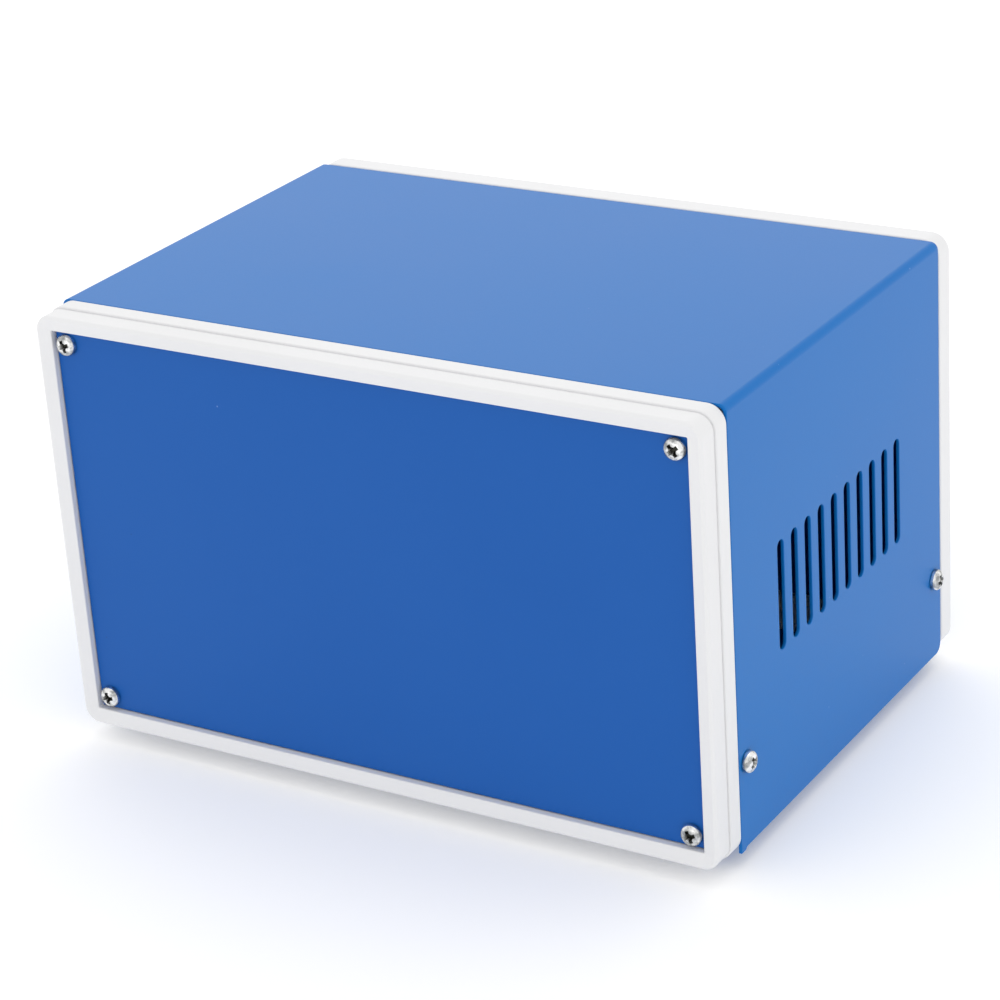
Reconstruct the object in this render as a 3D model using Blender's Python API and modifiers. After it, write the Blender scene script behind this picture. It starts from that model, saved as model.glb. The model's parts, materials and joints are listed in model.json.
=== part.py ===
import math

import bmesh
import bpy
from mathutils import Matrix, Vector

# Sheet metal instrument case: a bent cover, a tray, two moulded end frames and two blank panels.
# Metres, +Z up, front towards -Y. The origin is under the middle of the case, on the surface it
# stands on.

mm = 0.001

# case, over the sheet metal
case_width = 200.0 * mm
case_height = 122.0 * mm  # lower edge of the cover to its top
sheet_depth = 124.0 * mm  # front edge of the cover to its rear edge
sheet_gauge = 1.0 * mm
cover_bend = 2.2 * mm  # outer radius
tray_bend = 2.0 * mm
fit_gap = 0.3 * mm  # between pieces that touch

# cover details
cover_corner = 3.0 * mm  # rear lower corners
toe_length = 2.3 * mm  # tab below the front lower corners
toe_drop = 0.7 * mm
slot_count = 10
slot_width = 3.6 * mm
slot_height = 30.4 * mm
slot_pitch = 7.73 * mm
slot_forward = 1.0 * mm  # ahead of the sheet's middle
slot_drop = 0.45 * mm  # below the side's middle

# tray details
flange_height = 18.0 * mm

# end frames
rim_proud = 0.2 * mm  # over the sheet
rim_depth_front = 5.5 * mm
nose_depth_front = 6.8 * mm
rim_depth_rear = 7.0 * mm
nose_inset = 0.45 * mm
frame_corner = 5.0 * mm
rim_edge = 0.8 * mm
rim_back_edge = 0.5 * mm
nose_edge = 0.8 * mm
opening_edge = 0.3 * mm
inner_corner = 0.4 * mm  # smallest corner of the opening and of the ledge
frame_wall = 4.35 * mm  # nose's outside to the opening
face_dish = 0.95 * mm  # the opening's edge lies this far behind the frame's front
seat_width = 3.0 * mm  # ledge that the panel lies on
seat_thickness = 2.0 * mm
skirt_length = 8.5 * mm  # inside the sheet
skirt_wall = 2.0 * mm

# panels
panel_thickness = 1.5 * mm
panel_recess = 2.7 * mm  # frame face to panel face
panel_screw_inset = 3.9 * mm  # opening edge to screw centre

# fasteners
thread_radius = 1.35 * mm
thread_clearance = 0.3 * mm  # round the thread in its boss or nut
shank_clearance = 0.4 * mm  # round the thread where it passes through
head_clearance = 0.6 * mm  # round a sunk head
head_radius = 3.0 * mm
head_height = 2.1 * mm
screw_length = 8.0 * mm
recess_span = 4.0 * mm
recess_width = 1.25 * mm
recess_depth = 1.5 * mm
boss_size = 7.0 * mm
boss_reach = 7.0 * mm
boss_root = 0.5 * mm  # in the skirt's wall
nut_flats = 5.5 * mm
nut_thickness = 2.4 * mm

# screw positions
edge_screw_inset = 4.3 * mm  # sheet edge to the cover and tray screws
cover_screw_height = 24.0 * mm  # over the cover's lower edge
tray_screw_spread = 120.0 * mm

# feet
foot_height = 5.0 * mm
foot_top_radius = 7.0 * mm
foot_bottom_radius = 6.0 * mm
foot_counterbore_depth = 2.7 * mm
foot_inset_x = 20.0 * mm
foot_inset_y = 22.0 * mm

round_steps = 16

# where things are
thread_hole = thread_radius + thread_clearance
clearance_hole = thread_radius + shank_clearance
foot_hole = clearance_hole
foot_counterbore = head_radius + head_clearance
tray_bottom = foot_height
cover_top = tray_bottom + case_height
mid_height = tray_bottom + case_height / 2
front_depth = fit_gap + rim_depth_front + nose_depth_front
rear_depth = fit_gap + rim_depth_rear
front_edge = front_depth - (front_depth + sheet_depth + rear_depth) / 2
rear_edge = front_edge + sheet_depth
skirt_inset = sheet_gauge + fit_gap  # insets count from the sheet's outer faces
inner_half = case_width / 2 - skirt_inset
opening_inset = nose_inset - rim_proud + frame_wall
opening_width = case_width - 2 * opening_inset
opening_height = case_height - 2 * opening_inset
screw_x = opening_width / 2 - panel_screw_inset
screw_z = opening_height / 2 - panel_screw_inset

for ob in list(bpy.data.objects):
    bpy.data.objects.remove(ob, do_unlink=True)

parts = bpy.data.collections.new("instrument_enclosure")
tools = bpy.data.collections.new("cutters")
for group in (parts, tools):
    bpy.context.scene.collection.children.link(group)


def material(name, colour, roughness, metallic=0.0):
    mat = bpy.data.materials.new(name)
    mat.use_nodes = True
    shader = mat.node_tree.nodes["Principled BSDF"]
    shader.inputs["Base Color"].default_value = (*colour, 1.0)
    shader.inputs["Roughness"].default_value = roughness
    shader.inputs["Metallic"].default_value = metallic
    mat.diffuse_color = (*colour, 1.0)
    return mat


def add(name, mesh, group, location=(0, 0, 0), mat=None):
    ob = bpy.data.objects.new(name, mesh)
    ob.location = location
    group.objects.link(ob)
    if mat:
        mesh.materials.clear()
        mesh.materials.append(mat)
    if group is tools:
        ob.hide_render = True
        ob.display_type = "WIRE"
    return ob


def part(name, mesh, colour, roughness, metallic=0.0, location=(0, 0, 0)):
    return add(name, mesh, parts, location, material(name, colour, roughness, metallic))


def to_mesh(bm, name):
    bmesh.ops.recalc_face_normals(bm, faces=bm.faces)
    if bm.calc_volume(signed=True) < 0:
        bmesh.ops.reverse_faces(bm, faces=bm.faces)
    mesh = bpy.data.meshes.new(name)
    bm.to_mesh(mesh)
    bm.free()
    return mesh


def cube_into(bm, size, centre, corner=0.0, axis=1, segments=5):
    """One box, with the four edges along an axis rounded."""
    place = Matrix.Translation(centre) @ Matrix.Diagonal((*size, 1.0))
    made = bmesh.ops.create_cube(bm, size=1.0, matrix=place)["verts"]
    if corner > 0:
        edges = {e for v in made for e in v.link_edges}
        along = [e for e in edges
                 if abs(e.verts[0].co[axis] - e.verts[1].co[axis]) > 0.5 * size[axis]]
        bmesh.ops.bevel(bm, geom=along, offset=corner, segments=segments, affect="EDGES",
                        profile=0.5)


def box_mesh(name, boxes, corner=0.0, axis=1, segments=5):
    bm = bmesh.new()
    for size, centre in boxes:
        cube_into(bm, size, centre, corner, axis, segments)
    return to_mesh(bm, name)


def rods_mesh(name, rods, radius, axis):
    """Round bars along an axis; a rod is its middle and its length."""
    turn = {0: Matrix.Rotation(math.pi / 2, 4, "Y"), 1: Matrix.Rotation(math.pi / 2, 4, "X"),
            2: Matrix.Identity(4)}[axis]
    bm = bmesh.new()
    for centre, length in rods:
        bmesh.ops.create_cone(bm, cap_ends=True, segments=round_steps, radius1=radius,
                              radius2=radius, depth=length,
                              matrix=Matrix.Translation(centre) @ turn)
    return to_mesh(bm, name)


def boolean(ob, tool, operation):
    mod = ob.modifiers.new(operation.lower(), "BOOLEAN")
    mod.operation = operation
    mod.solver = "EXACT"
    mod.object = tool
    return mod


def cut(ob, name, mesh):
    boolean(ob, add(name, mesh, tools), "DIFFERENCE")


def join(ob, name, mesh):
    boolean(ob, add(name, mesh, tools), "UNION")


def smooth(mesh, angle=35):
    mesh.shade_smooth()
    mesh.set_sharp_from_angle(angle=math.radians(angle))


def evaluated_mesh(ob, name):
    depsgraph = bpy.context.evaluated_depsgraph_get()
    mesh = bpy.data.meshes.new_from_object(ob.evaluated_get(depsgraph))
    mesh.name = name
    return mesh


def turned(name, profile, steps, group=None):
    """A Screw modifier turns the profile of (radius, height) points, top to bottom."""
    mesh = bpy.data.meshes.new(name)
    closed = len(profile) > 2 and profile[0] == profile[-1]
    points = profile[:-1] if closed else profile
    edges = [(i, i + 1) for i in range(len(points) - 1)]
    if closed:
        edges.append((len(points) - 1, 0))
    mesh.from_pydata([(r, 0, z) for r, z in points], edges, [])
    ob = add(name, mesh, group or tools)
    mod = ob.modifiers.new("turn", "SCREW")
    mod.axis = "Z"
    mod.steps = mod.render_steps = steps
    mod.use_merge_vertices = True
    mod.merge_threshold = 0.01 * mm
    mod.use_normal_calculate = not closed
    return ob


def outline_mesh(name, points, depth, across):
    """A flat outline, a 2D curve filled and extruded, stood up with its depth along an axis."""
    curve = bpy.data.curves.new(name, "CURVE")
    curve.dimensions = "2D"
    curve.fill_mode = "BOTH"
    curve.extrude = depth / 2
    spline = curve.splines.new("POLY")
    spline.points.add(len(points) - 1)
    for p, (u, v) in zip(spline.points, points):
        p.co = (u, v, 0, 1)
    spline.use_cyclic_u = True
    ob = add(name + "_outline", curve, tools)
    # u runs along Y and v along Z when the depth lies along X
    if across == "X":
        ob.matrix_world = Matrix(((0, 0, 1, 0), (1, 0, 0, 0), (0, 1, 0, 0), (0, 0, 0, 1)))
    bpy.context.view_layer.update()
    mesh = evaluated_mesh(ob, name)
    mesh.transform(ob.matrix_world)
    bm = bmesh.new()
    bm.from_mesh(mesh)
    bmesh.ops.remove_doubles(bm, verts=bm.verts, dist=0.001 * mm)
    bmesh.ops.recalc_face_normals(bm, faces=bm.faces)
    bm.to_mesh(mesh)
    bm.free()
    bpy.data.objects.remove(ob, do_unlink=True)
    return mesh


def arc(cx, cz, radius, start, end, steps):
    """Points round a centre, in degrees."""
    out = []
    for i in range(steps + 1):
        a = math.radians(start + (end - start) * i / steps)
        out.append((cx + radius * math.cos(a), cz + radius * math.sin(a)))
    return out


def bent_sheet(profile, y0, y1, name):
    """An open sheet: the profile in X and Z, drawn out along Y."""
    bm = bmesh.new()
    row = [bm.verts.new((x, y0, z)) for x, z in profile]
    edges = [bm.edges.new((a, b)) for a, b in zip(row, row[1:])]
    made = bmesh.ops.extrude_edge_only(bm, edges=edges)["geom"]
    bmesh.ops.translate(bm, vec=(0, y1 - y0, 0),
                        verts=[g for g in made if isinstance(g, bmesh.types.BMVert)])
    mesh = bpy.data.meshes.new(name)
    bm.to_mesh(mesh)
    bm.free()
    return mesh


def solidify_inward(ob, inward):
    """Thickens the sheet towards a point; the drawn surface stays as the outer face."""
    mesh = ob.data
    face = max(mesh.polygons, key=lambda f: f.area)
    if face.normal.dot(Vector(inward) - face.center) > 0:
        mesh.flip_normals()
    mod = ob.modifiers.new("gauge", "SOLIDIFY")
    mod.thickness = sheet_gauge
    mod.offset = -1.0
    mod.use_even_offset = True


# ---- cover: top and both sides in one bent sheet

half = case_width / 2
toe_level = tray_bottom - toe_drop
section = [(-half, toe_level)]
section += arc(-half + cover_bend, cover_top - cover_bend, cover_bend, 180, 90, 6)
section += arc(half - cover_bend, cover_top - cover_bend, cover_bend, 90, 0, 6)
section += [(half, toe_level)]
blue = (0.022, 0.115, 0.42)
top_cover = part("top_cover", bent_sheet(section, front_edge, rear_edge, "top_cover"), blue, 0.38)
solidify_inward(top_cover, (0, 0, mid_height))

below = toe_level - 2 * mm
behind = rear_edge + 2 * mm
lower_edge = [(front_edge + toe_length, below), (front_edge + toe_length, toe_level),
              (front_edge + toe_length + toe_drop, tray_bottom)]
lower_edge += arc(rear_edge - cover_corner, tray_bottom + cover_corner, cover_corner, 270, 360, 5)
lower_edge += [(behind, tray_bottom + cover_corner), (behind, below)]
cut(top_cover, "lower_edge_cutter",
    outline_mesh("lower_edge_cutter", lower_edge, case_width + 10 * mm, "X"))

slot_mid = (front_edge + rear_edge) / 2 - slot_forward
slots = []
for i in range(slot_count):
    y = slot_mid + (i - (slot_count - 1) / 2) * slot_pitch
    slots.append(((case_width + 10 * mm, slot_width, slot_height), (0, y, mid_height - slot_drop)))
cut(top_cover, "slot_cutter",
    box_mesh("slot_cutter", slots, corner=slot_width * 0.499, axis=0, segments=4))

cover_screw_z = tray_bottom + cover_screw_height
screw_rows = (front_edge + edge_screw_inset, rear_edge - edge_screw_inset)
cut(top_cover, "cover_screw_hole_cutter",
    rods_mesh("cover_screw_hole_cutter",
              [((0, y, cover_screw_z), case_width + 10 * mm) for y in screw_rows],
              clearance_hole, 0))

# ---- tray: the bottom, with a flange turned up at each side between the frames' skirts

tray_half = inner_half
section = [(-tray_half, tray_bottom + flange_height)]
section += arc(-tray_half + tray_bend, tray_bottom + tray_bend, tray_bend, 180, 270, 4)
section += arc(tray_half - tray_bend, tray_bottom + tray_bend, tray_bend, 270, 360, 4)
section += [(tray_half, tray_bottom + flange_height)]
bottom_tray = part("bottom_tray", bent_sheet(section, front_edge, rear_edge, "bottom_tray"),
                   blue, 0.42)
solidify_inward(bottom_tray, (0, 0, mid_height))

notch_depth = skirt_length + 0.6 * mm
notch_size = (tray_bend + 6 * mm, notch_depth + 4 * mm, flange_height + 20 * mm)
notch_z = tray_bottom + sheet_gauge + notch_size[2] / 2 - 5 * mm
notches = []
for side in (-1, 1):
    for y in (front_edge + notch_depth - notch_size[1] / 2,
              rear_edge - notch_depth + notch_size[1] / 2):
        x = side * (tray_half - tray_bend - 0.5 * mm + notch_size[0] / 2)
        notches.append((notch_size, (x, y, notch_z)))
cut(bottom_tray, "notch_cutter", box_mesh("notch_cutter", notches))

foot_spots = {}
for ylabel, y in (("front", front_edge + foot_inset_y), ("rear", rear_edge - foot_inset_y)):
    for xlabel, x in (("left", -half + foot_inset_x), ("right", half - foot_inset_x)):
        foot_spots[f"{ylabel}_{xlabel}"] = (x, y)
tray_spots = {}
for ylabel, y in (("front", screw_rows[0]), ("rear", screw_rows[1])):
    for xlabel, x in (("left", -tray_screw_spread / 2), ("right", tray_screw_spread / 2)):
        tray_spots[f"{ylabel}_{xlabel}"] = (x, y)
cut(bottom_tray, "tray_hole_cutter",
    rods_mesh("tray_hole_cutter",
              [((x, y, tray_bottom), 6 * mm)
               for x, y in (*foot_spots.values(), *tray_spots.values())],
              clearance_hole, 2))

# ---- end frames


def corner_at(inset):
    """The frames' outlines are concentric, down to the smallest corner."""
    return max(frame_corner - rim_proud - inset, inner_corner)


def outline_at(inset):
    """Points round the case in X and Z, a distance inside the sheet's outer faces."""
    radius = corner_at(inset)
    x, z = case_width / 2 - inset - radius, case_height / 2 - inset - radius
    points = []
    for sx, sz, start in ((1, 1, 0), (-1, 1, 90), (-1, -1, 180), (1, -1, 270)):
        points += arc(sx * x, mid_height + sz * z, radius, start, start + 90, 6)
    return points


def swept_frame(profile, edge, facing):
    """A closed profile of (inset, distance outwards from the sheet's edge), taken round the case.
    A grid is wrapped on it: a column for each point of the profile, a row for each of the outline."""
    outlines = [outline_at(inset) for inset, s in profile]
    columns, rows = len(profile), len(outlines[0])
    bm = bmesh.new()
    bmesh.ops.create_grid(bm, x_segments=columns, y_segments=rows, size=1.0)
    for v in bm.verts:
        column = round((v.co.x + 1) / 2 * columns) % columns
        row = round((v.co.y + 1) / 2 * rows) % rows
        x, z = outlines[column][row]
        v.co = (x, edge + facing * profile[column][1], z)
    bmesh.ops.remove_doubles(bm, verts=bm.verts, dist=0.001 * mm)
    return to_mesh(bm, "swept_frame")


def end_frame(name, edge, facing, rim_depth, nose_depth, colour):
    """Facing is -1 for the front and +1 for the rear; distances s run outwards from the sheet's edge."""
    def at(s):
        return edge + facing * s

    rim_face = fit_gap + rim_depth
    face = rim_face + nose_depth
    seat = face - panel_recess - panel_thickness - fit_gap
    cavity_inset = skirt_inset + skirt_wall
    window_inset = opening_inset + seat_width
    profile = [(skirt_inset, -skirt_length), (skirt_inset, fit_gap)]
    profile += arc(rim_back_edge - rim_proud, fit_gap + rim_back_edge, rim_back_edge, 270, 180, 3)
    if nose_depth > 0:
        rim_round = min(rim_edge, 0.9 * nose_inset)
        profile += arc(rim_round - rim_proud, rim_face - rim_round, rim_round, 180, 90, 4)
        profile += [(nose_inset - rim_proud, rim_face)]
        profile += arc(nose_inset - rim_proud + nose_edge, face - nose_edge, nose_edge, 180, 90, 4)
    else:
        profile += arc(rim_edge - rim_proud, face - rim_edge, rim_edge, 180, 90, 4)
    profile += arc(opening_inset - opening_edge, face - face_dish - opening_edge, opening_edge,
                   90, 0, 3)
    profile += [(opening_inset, seat), (window_inset, seat), (window_inset, seat - seat_thickness),
                (cavity_inset, seat - seat_thickness), (cavity_inset, -skirt_length)]
    frame = part(name, swept_frame(profile, edge, facing), colour, 0.45)

    # bosses: one for each panel screw, cover screw and tray screw, rooted in the skirt's wall
    wall_x = case_width / 2 - cavity_inset + boss_root
    wall_z = case_height / 2 - cavity_inset + boss_root
    bosses, holes_y, holes_x, holes_z = [], [], [], []
    boss_start = seat - seat_thickness / 2
    boss_end = seat - boss_reach
    for sx in (-1, 1):
        for sz in (-1, 1):
            x0, z0 = screw_x - boss_size / 2, screw_z - boss_size / 2
            bosses.append(((wall_x - x0, boss_start - boss_end, wall_z - z0),
                           (sx * (wall_x + x0) / 2, (at(boss_start) + at(boss_end)) / 2,
                            mid_height + sz * (wall_z + z0) / 2)))
            holes_y.append(((sx * screw_x, at((seat + boss_end) / 2), mid_height + sz * screw_z),
                            seat - boss_end + 6 * mm))
    row = at(-edge_screw_inset)
    for sx in (-1, 1):
        bosses.append(((boss_reach, boss_size, boss_size),
                       (sx * (wall_x - boss_reach / 2), row, cover_screw_z)))
        holes_x.append(((sx * (inner_half - boss_reach / 2), row, cover_screw_z),
                        boss_reach + 8 * mm))
        x = sx * tray_screw_spread / 2
        floor = mid_height - wall_z
        bosses.append(((boss_size, boss_size, boss_reach), (x, row, floor + boss_reach / 2)))
        holes_z.append(((x, row, floor + boss_reach / 2), boss_reach + 8 * mm))
    join(frame, name + "_bosses", box_mesh("bosses", bosses))
    cut(frame, name + "_holes_y", rods_mesh("holes_y", holes_y, thread_hole, 1))
    cut(frame, name + "_holes_x", rods_mesh("holes_x", holes_x, thread_hole, 0))
    cut(frame, name + "_holes_z", rods_mesh("holes_z", holes_z, thread_hole, 2))
    return at(face - panel_recess)


white = (0.78, 0.78, 0.79)
front_face = end_frame("front_frame", front_edge, -1, rim_depth_front, nose_depth_front, white)
rear_face = end_frame("rear_frame", rear_edge, 1, rim_depth_rear, 0.0, white)

# ---- panels, dropped into the openings from outside

panel_outer = {}
for name, face_y, facing in (("front_panel", front_face, -1), ("rear_panel", rear_face, 1)):
    size = (opening_width - 2 * fit_gap, panel_thickness, opening_height - 2 * fit_gap)
    middle = face_y - facing * panel_thickness / 2
    corner = corner_at(opening_inset + fit_gap)
    panel = part(name, box_mesh(name, [(size, (0, 0, 0))], corner), blue, 0.4,
                 location=(0, middle, mid_height))
    holes = [((sx * screw_x, middle, mid_height + sz * screw_z), panel_thickness + 4 * mm)
             for sx in (-1, 1) for sz in (-1, 1)]
    cut(panel, name + "_holes", rods_mesh(name + "_holes", holes, clearance_hole, 1))
    panel_outer[name] = face_y

# ---- one pan head screw, cut for a cross driver, then copied

top_z = head_height
profile = [(0.0, top_z)]
dome_radius = (head_radius ** 2 + (0.8 * head_height) ** 2) / (1.6 * head_height)
for share in (0.45, 0.75, 0.93):
    r = share * head_radius
    drop = dome_radius - math.sqrt(dome_radius ** 2 - r ** 2)
    profile.append((r, top_z - drop * 0.62))
profile += [(head_radius, 0.28 * head_height), (head_radius - 0.1 * mm, 0.0),
            (thread_radius, 0.0), (thread_radius, 0.4 * mm - screw_length),
            (thread_radius - 0.35 * mm, -screw_length), (0.0, -screw_length)]
blank = turned("screw_blank", profile, round_steps)
for turn in (0, 1):
    bm = bmesh.new()
    span = (recess_span, recess_width) if turn == 0 else (recess_width, recess_span)
    low, high = head_height - recess_depth, head_height + 0.5 * mm
    cube_into(bm, (*span, high - low), (0, 0, (low + high) / 2))
    for v in bm.verts:
        if v.co.z < (low + high) / 2:
            v.co.x *= 0.5
            v.co.y *= 0.5
    cut(blank, f"recess_cutter_{turn}", to_mesh(bm, "recess"))
bpy.context.view_layer.update()
screw_mesh = evaluated_mesh(blank, "pan_head_screw")
bpy.data.objects.remove(blank, do_unlink=True)
smooth(screw_mesh)
screw_metal = material("zinc_screw", (0.72, 0.72, 0.70), 0.25, 1.0)


def screw(name, seat_point, outward):
    """The head's underside stands a gap off the seat."""
    mesh = screw_mesh.copy()
    ob = add(name, mesh, parts, Vector(seat_point) + fit_gap * Vector(outward), screw_metal)
    ob.rotation_euler = Vector(outward).to_track_quat("Z", "Y").to_euler()
    return ob


labels_x = {-1: "left", 1: "right"}
labels_z = {-1: "bottom", 1: "top"}
for name, facing in (("front_panel", -1), ("rear_panel", 1)):
    for sx in (-1, 1):
        for sz in (-1, 1):
            screw(f"{name}_screw_{labels_z[sz]}_{labels_x[sx]}",
                  (sx * screw_x, panel_outer[name], mid_height + sz * screw_z), (0, facing, 0))
for ylabel, y in zip(("front", "rear"), screw_rows):
    for sx in (-1, 1):
        screw(f"cover_screw_{labels_x[sx]}_{ylabel}", (sx * half, y, cover_screw_z), (sx, 0, 0))
for label, (x, y) in tray_spots.items():
    screw(f"tray_screw_{label}", (x, y, tray_bottom), (0, 0, -1))

# ---- feet, each with a screw up through it and a nut on the tray

top, bottom = tray_bottom - fit_gap, 0.0
bore_level = bottom + foot_counterbore_depth
ring = [(foot_hole, top), (foot_top_radius, top), (foot_bottom_radius + 0.6 * mm, bottom + 0.6 * mm),
        (foot_bottom_radius, bottom), (foot_counterbore, bottom), (foot_counterbore, bore_level),
        (foot_hole, bore_level), (foot_hole, top)]
foot_blank = turned("foot_blank", ring, round_steps + 4)
bpy.context.view_layer.update()
foot_mesh = evaluated_mesh(foot_blank, "foot")
bpy.data.objects.remove(foot_blank, do_unlink=True)
smooth(foot_mesh)
rubber = material("rubber_foot", (0.02, 0.02, 0.02), 0.8)

nut_corner = nut_flats / 2 / math.cos(math.pi / 6)
bm = bmesh.new()
bmesh.ops.create_cone(bm, cap_ends=True, segments=6, radius1=nut_corner, radius2=nut_corner,
                      depth=nut_thickness)
nut_blank = add("nut_blank", to_mesh(bm, "nut_blank"), tools)
cut(nut_blank, "nut_hole_cutter",
    rods_mesh("nut_hole_cutter", [((0, 0, 0), nut_thickness + 4 * mm)], thread_hole, 2))
bpy.context.view_layer.update()
nut_mesh = evaluated_mesh(nut_blank, "hex_nut")
bpy.data.objects.remove(nut_blank, do_unlink=True)
nut_metal = material("zinc_nut", (0.68, 0.68, 0.66), 0.3, 1.0)

for label, (x, y) in foot_spots.items():
    add(f"foot_{label}", foot_mesh.copy(), parts, (x, y, 0), rubber)
    screw(f"foot_screw_{label}", (x, y, bore_level), (0, 0, -1))
    add(f"foot_nut_{label}", nut_mesh.copy(), parts,
        (x, y, tray_bottom + sheet_gauge + fit_gap + nut_thickness / 2), nut_metal)

for ob in parts.objects:
    if ob.data.polygons and not ob.data.name.startswith(("pan_head", "foot")):
        smooth(ob.data)
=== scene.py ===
import json
import math
import random

import bmesh
import bpy
from mathutils import Matrix, Vector


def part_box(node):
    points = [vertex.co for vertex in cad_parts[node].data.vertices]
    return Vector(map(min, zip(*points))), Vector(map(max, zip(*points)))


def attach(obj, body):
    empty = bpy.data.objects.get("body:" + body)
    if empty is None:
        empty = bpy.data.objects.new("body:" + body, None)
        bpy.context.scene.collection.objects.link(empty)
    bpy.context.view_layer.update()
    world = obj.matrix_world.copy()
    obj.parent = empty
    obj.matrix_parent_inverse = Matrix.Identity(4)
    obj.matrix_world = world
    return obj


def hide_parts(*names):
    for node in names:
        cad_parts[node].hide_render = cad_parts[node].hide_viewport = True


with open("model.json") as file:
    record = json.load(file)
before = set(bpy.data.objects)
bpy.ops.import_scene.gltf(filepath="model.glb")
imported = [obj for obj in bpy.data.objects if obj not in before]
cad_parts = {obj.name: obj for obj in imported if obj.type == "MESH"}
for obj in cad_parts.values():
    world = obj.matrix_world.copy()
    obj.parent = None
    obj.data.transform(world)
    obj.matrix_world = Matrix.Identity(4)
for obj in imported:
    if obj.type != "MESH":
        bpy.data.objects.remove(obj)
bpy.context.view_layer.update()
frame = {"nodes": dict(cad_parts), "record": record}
print("frame loaded")

mm = 0.001
weld = 0.002 * mm  # points closer than this become one
scene = bpy.context.scene

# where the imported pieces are
coverLow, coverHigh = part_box("top_cover")
trayLow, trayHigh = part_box("bottom_tray")
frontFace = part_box("front_frame")[0].y
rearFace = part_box("rear_frame")[1].y
frontEdge, rearEdge = coverLow.y, coverHigh.y
coverTop, lowerEdge = coverHigh.z, trayLow.z
midHeight = (coverTop + lowerEdge) / 2


# node trees

class Wire:  # an output socket that takes part in Python expressions
    def __init__(self, graph, node, socket):
        self.graph, self.node, self.socket = graph, node, socket

    def out(self, name):
        return Wire(self.graph, self.node, self.node.outputs[name])

    def math(self, operation, *others, reflected=False):
        values = (*others, self) if reflected else (self, *others)
        return self.graph.add("ShaderNodeMath", {"operation": operation}, dict(enumerate(values)))

    def __add__(self, other):
        return self.math("ADD", other)

    def __sub__(self, other):
        return self.math("SUBTRACT", other)

    def __rsub__(self, other):
        return self.math("SUBTRACT", other, reflected=True)

    def __mul__(self, other):
        return self.math("MULTIPLY", other)

    def __truediv__(self, other):
        return self.math("DIVIDE", other)

    def __rtruediv__(self, other):
        return self.math("DIVIDE", other, reflected=True)

    def __pow__(self, other):
        return self.math("POWER", other)

    def __lt__(self, other):
        return self.math("LESS_THAN", other)

    def __gt__(self, other):
        return self.math("GREATER_THAN", other)

    __radd__ = __add__
    __rmul__ = __mul__


class Graph:  # one node tree, of shader or of geometry nodes
    def __init__(self, tree):
        self.tree = tree
        self.tree.nodes.clear()

    def add(self, kind, settings=None, inputs=None):
        node = self.tree.nodes.new(kind)
        for name, value in (settings or {}).items():
            if name == "stops":
                self.setStops(node.color_ramp, value)
            else:
                setattr(node, name, value)
        for key, value in (inputs or {}).items():
            socket = node.inputs[key] if isinstance(key, int) else self.inputNamed(node, key)
            if isinstance(value, (list, tuple)) and value and isinstance(value[0], Wire):
                for wire in value:
                    self.tree.links.new(wire.socket, socket)
            elif isinstance(value, Wire):
                self.tree.links.new(value.socket, socket)
            else:
                socket.default_value = value
        first = next((s for s in node.outputs if s.enabled), None)
        return Wire(self, node, first)

    @staticmethod
    def inputNamed(node, name):
        return next(s for s in node.inputs if s.name == name and s.enabled)

    @staticmethod
    def setStops(ramp, stops):
        while len(ramp.elements) < len(stops):
            ramp.elements.new(0.5)
        for element, (place, colour) in zip(ramp.elements, stops):
            element.position = place
            element.color = colour if len(colour) == 4 else (*colour, 1.0)

    def vector(self, x=0.0, y=0.0, z=0.0):
        return self.add("ShaderNodeCombineXYZ", None, {0: x, 1: y, 2: z})

    def split(self, vector):
        node = self.add("ShaderNodeSeparateXYZ", None, {0: vector})
        return node.out("X"), node.out("Y"), node.out("Z")

    def mixColours(self, share, one, other):
        one, other = (c if isinstance(c, Wire) else (*c, 1.0) for c in (one, other))
        settings = {"data_type": "RGBA", "blend_type": "MIX"}
        return self.add("ShaderNodeMix", settings, {"Factor": share, "A": one, "B": other})


class ShapeTree(Graph):  # a geometry tree with named inputs
    kinds = {"float": "NodeSocketFloat", "int": "NodeSocketInt", "material": "NodeSocketMaterial"}

    def __init__(self, name, **sizes):
        super().__init__(bpy.data.node_groups.new(name, "GeometryNodeTree"))
        face = self.tree.interface
        face.new_socket("Geometry", in_out="INPUT", socket_type="NodeSocketGeometry")
        for label, kind in sizes.items():
            face.new_socket(label, in_out="INPUT", socket_type=self.kinds[kind])
        face.new_socket("Geometry", in_out="OUTPUT", socket_type="NodeSocketGeometry")
        self.start = self.add("NodeGroupInput")

    def size(self, name):
        return self.start.out(name)

    def close(self, geometry):
        real = self.add("GeometryNodeRealizeInstances", None, {"Geometry": geometry})
        last = self.add("GeometryNodeSetMaterial", None,
                        {"Geometry": real, "Material": self.size("material")})
        self.add("NodeGroupOutput", None, {"Geometry": last})
        return self.tree


def grow(name, tree, sizes, start=None):  # runs a tree on a start mesh and keeps its result
    base = bpy.data.objects.new(name + "Seed", start or bpy.data.meshes.new(name + "Seed"))
    scene.collection.objects.link(base)
    modifier = base.modifiers.new("shape", "NODES")
    modifier.node_group = tree
    for item in tree.interface.items_tree:
        if item.in_out == "INPUT" and item.name in sizes:
            modifier[item.identifier] = sizes[item.name]
    return settle(base, name)


def settle(base, name):  # the evaluated mesh, on a new object without modifiers
    bpy.context.view_layer.update()
    mesh = bpy.data.meshes.new_from_object(base.evaluated_get(bpy.context.evaluated_depsgraph_get()))
    mesh.name = name
    bpy.data.objects.remove(base, do_unlink=True)
    piece = bpy.data.objects.new(name, mesh)
    scene.collection.objects.link(piece)
    return piece


def tidyShading(piece, angle=32):  # flat faces stay flat beside their rounded edges
    piece.data.shade_smooth()
    piece.data.set_sharp_from_angle(angle=math.radians(angle))
    weighted = piece.modifiers.new("flatFaces", "WEIGHTED_NORMAL")
    weighted.keep_sharp = True
    weighted.weight = 100


# finishes

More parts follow.
